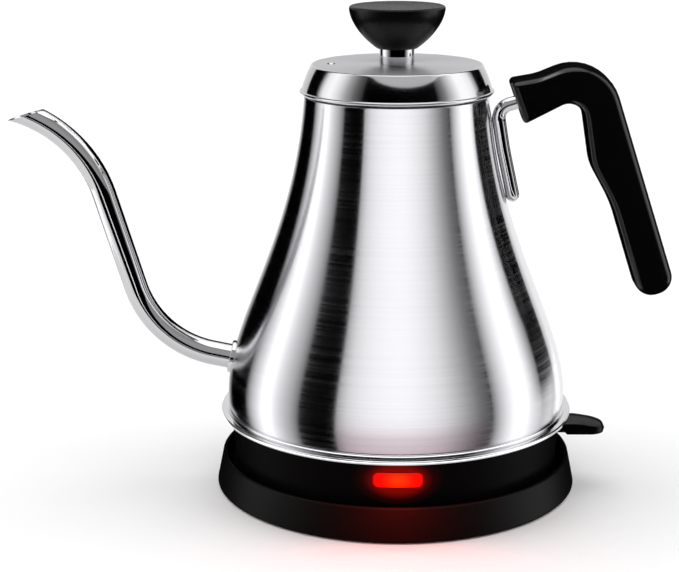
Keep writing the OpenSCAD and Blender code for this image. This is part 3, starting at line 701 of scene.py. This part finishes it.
# Far panels, which the brushed body reflects as its bright and dark bands
LOW, HIGH = -2.5, 4.0
FRONT_LEFT, FRONT_RIGHT, FRONT_FOOT = -40, 64, -0.22
FAR_STRENGTH = 1.5
PINK = (1, 0.82, 0.87)
front_levels = [0.35, 0.66, 0.79, 0.86, 0.90, 0.92, 0.91, 0.86, 0.78, 0.66, 0.48, 0.305, 0.155, 0.07]
wall_panel("front_softbox", FRONT_LEFT, FRONT_RIGHT, FRONT_FOOT, HIGH, front_levels, FAR_STRENGTH,
           body_only)
wall_panel("front_low", FRONT_LEFT, FRONT_RIGHT, LOW, FRONT_FOOT, front_levels, 0.95, body_only,
           tint=PINK)
for name, first, last, levels in (
    ("right_softbox", 65, 112, [0.1, 0.45, 0.72, 0.95, 1.1, 1.1, 0.8, 0.45, 0.15]),
    ("back_wall", 135, 209, [0.4, 0.70, 0.68, 0.64, 0.63, 0.64, 0.60, 0.36, 0.05]),
    ("left_softbox", -119, -67, [0.1, 0.45, 0.72, 1.05, 1.1, 0.75, 0.53, 0.35, 0.12]),
):
    wall_panel(name, first, last, LOW, HIGH, levels, FAR_STRENGTH, body_only)
wall_panel("low_right", 100, 150, LOW, -0.15, [0, 0.6, 0.8, 0.6, 0], 1.2, body_only)

# Near panels, for the pieces with a polish or a gloss
NEAR = 1.3
for name, first, last, foot, top, levels, strength, lit in (
    ("side_left", -114, -44, -0.5, 2.4, [0.05, 0.85, 1, 0.75, 0.35, 0.12, 0.02], 1.3,
     light_group("all_but_body_and_grip", ["body_shell", "handle_grip"], "EXCLUDE")),
    ("side_right", 50, 117, -0.5, 2.4, [0.02, 0.2, 0.6, 1, 1, 0.85, 0.1], 1.3, all_but_body),
    ("behind", 138, 222, -0.6, 1.6, [0.8, 1, 1, 0.8], 0.8, light_group("lid_and_ring", LID_AND_RING)),
    ("high_behind", 110, 250, 1.1, 2.5, [1, 1, 1], 1.4, tubes),
    ("in_front", -60, 55, 0.3, 2.2, [0.7, 1, 1, 0.7], 0.34, tubes),
    ("low_front", -75, 75, 0.24, 0.5, [0.6, 1, 1, 0.6], 0.45, lid_only),
    ("ring_front", -100, 100, -0.5, -0.22, [0.4, 1, 1, 0.4], 1, light_group("ring_only", ["base_ring"])),
    ("horizon", -180, 180, -0.16, -0.11, [1, 1], 1, polished),
    ("behind_grip", 100, 250, 0.34, 1.8, [0.5, 1, 1, 0.4], 1.7, grip_only),
    ("gleam_on_grip", -130, -30, 1.9, 4.4, [0.3, 1, 1, 0.3], 4.5, grip_only),
    ("behind_knob", 100, 250, 0.34, 1.8, [0.5, 1, 1, 0.4], 0.8,
     light_group("knob_and_lever", ["lid_knob", "switch_lever"])),
):
    wall_panel(name, first, last, foot, top, levels, strength, lit, NEAR)
wall_panel("lid_arch", -65, 113, 2, 2.4, [1, 1], 0.56, lid_only, NEAR, dip=0.9)
round_panel("below", -0.32, 0.02, 1.25, [0.5, 0.62, 0.7, 0.6], 1.15, polished)
round_panel("above", 2.5, 0.01, 1.25, [1, 1, 0.9], 1.4, all_but_body)

# The dark room behind the panels hides the white world from reflections
ROOM_R, ROOM_H, ROOM_MIDDLE_Z = 1.9, 7.5, 0.8
dark = principled("dark_studio", (0, 0, 0), 0, 1, Specular_IOR_Level=0)[0]
bpy.ops.mesh.primitive_cylinder_add(vertices=96, radius=ROOM_R, depth=ROOM_H,
                                    location=(0, 0, ROOM_MIDDLE_Z))
room = bpy.context.object
room.name = "dark_studio"
room.data.materials.append(dark)
seen_only(room, "glossy")

# ---- floor, background and camera ----

FLOOR_HALF = 9
floor_material = principled("pale_floor", (0.93, 0.93, 0.93), 0, 0.9)[0]
floor_mesh = bpy.data.meshes.new("floor")
floor_corners = [(x * FLOOR_HALF, y * FLOOR_HALF, 0) for x, y in ((-1, -1), (1, -1), (1, 1), (-1, 1))]
floor_mesh.from_pydata(floor_corners, [], [(0, 1, 2, 3)])
floor_mesh.materials.append(floor_material)
floor = bpy.data.objects.new("floor", floor_mesh)
bpy.context.scene.collection.objects.link(floor)
floor.visible_glossy = False

BACKDROP_R, BACKDROP_H, BACKDROP_MIDDLE_Z = 8, 32, 15
backdrop_material = principled("white_backdrop", (0, 0, 0), 0, 1, Specular_IOR_Level=0,
                               Emission_Color=(1, 1, 1, 1), Emission_Strength=1)[0]
bpy.ops.mesh.primitive_cylinder_add(vertices=64, radius=BACKDROP_R, depth=BACKDROP_H,
                                    end_fill_type="NOTHING", location=(0, 0, BACKDROP_MIDDLE_Z))
backdrop = bpy.context.object
backdrop.name = "backdrop"
backdrop.data.materials.append(backdrop_material)
seen_only(backdrop, "camera")

WORLD_LEVEL = 0.52
world = bpy.data.worlds.new("studio")
bpy.context.scene.world = world
world.use_nodes = True
sky = world.node_tree.nodes["Background"]
sky.inputs["Color"].default_value = (1, 1, 1, 1)
sky.inputs["Strength"].default_value = WORLD_LEVEL


def place_lamp(name, lamp, place, aim, reached=None):
    """Puts a lamp at its place, turned to its aim. It lights only what is in reached, if that is given."""
    obj = bpy.data.objects.new(name, lamp)
    obj.location = place
    obj.rotation_euler = (Vector(aim) - Vector(place)).to_track_quat("-Z", "Y").to_euler()
    obj.visible_glossy = False
    obj.visible_camera = False
    if reached:
        obj.light_linking.receiver_collection = reached
    bpy.context.scene.collection.objects.link(obj)
    return obj


def distant_light(name, azimuth, elevation, softness, floor_level):
    """Light from far away that gives the floor the same level everywhere. Angles are in degrees."""
    lamp = bpy.data.lights.new(name, "SUN")
    lamp.angle = math.radians(softness)
    lamp.energy = floor_level * math.pi / math.sin(math.radians(elevation))
    a, e = math.radians(azimuth), math.radians(elevation)
    place = (math.cos(a) * math.cos(e), math.sin(a) * math.cos(e), math.sin(e))
    place_lamp(name, lamp, place, aim=(0, 0, 0))


distant_light("behind", azimuth=90, elevation=65, softness=50, floor_level=0.28)
distant_light("right", azimuth=3, elevation=35, softness=60, floor_level=0.2)
distant_light("left", azimuth=177, elevation=35, softness=60, floor_level=0.2)

# Lamps for the light that the window throws. The first lights all pieces, and the others only one.
GLOW_COLOUR = (1, 0.03, 0.01)
OUTWARD, TO_BASE_EDGE = (0, -0.2, -0.02), (0, -0.076, 0.008)
floor_only = bpy.data.collections.new("floor_only")
floor_only.objects.link(floor)
for name, place, aim, size, power, reached in (
    ("window_glow", (0, -0.0745, 0.0245), OUTWARD, 0.018, 0.012, None),
    ("glow_on_base", (0, -0.090, 0.030), TO_BASE_EDGE, 0.018, 0.1,
     light_group("base_front", ["base_cover"])),
    ("glow_on_floor", (0, -0.115, 0.030), TO_BASE_EDGE, 0.08, 0.009, floor_only),
):
    glow_lamp = bpy.data.lights.new(name, "AREA")
    glow_lamp.size = size
    glow_lamp.energy = power
    glow_lamp.color = GLOW_COLOUR
    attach(place_lamp(name, glow_lamp, place, aim, reached), "kettle")


def photo_camera():
    """The camera that took the picture: its place, and the way it looks."""
    distance, height, sensor_mm, focal_mm = 0.741, 0.2806, 36, 94.4271
    pitch, yaw, roll, round_object = (math.radians(a) for a in (14.665, 1.874, -0.18, -1))
    orbit = Matrix.Rotation(round_object, 3, "Z")
    level = orbit @ Vector((-math.sin(yaw), math.cos(yaw), 0))
    right = orbit @ Vector((math.cos(yaw), math.sin(yaw), 0))
    up = Vector((0, 0, 1))
    ahead = level * math.cos(pitch) - up * math.sin(pitch)
    above = up * math.cos(pitch) + level * math.sin(pitch)
    across = right * math.cos(roll) + above * math.sin(roll)
    above = above * math.cos(roll) - right * math.sin(roll)
    lens = bpy.data.cameras.new("photo_camera")
    lens.sensor_width = sensor_mm
    lens.lens = focal_mm
    camera = bpy.data.objects.new("photo_camera", lens)
    camera.matrix_world = Matrix.Translation(orbit @ Vector((0, -distance, height))) @ Matrix(
        (across, above, -ahead)).transposed().to_4x4()
    bpy.context.scene.collection.objects.link(camera)
    bpy.context.scene.camera = camera


photo_camera()
bpy.context.scene.view_settings.view_transform = "Standard"
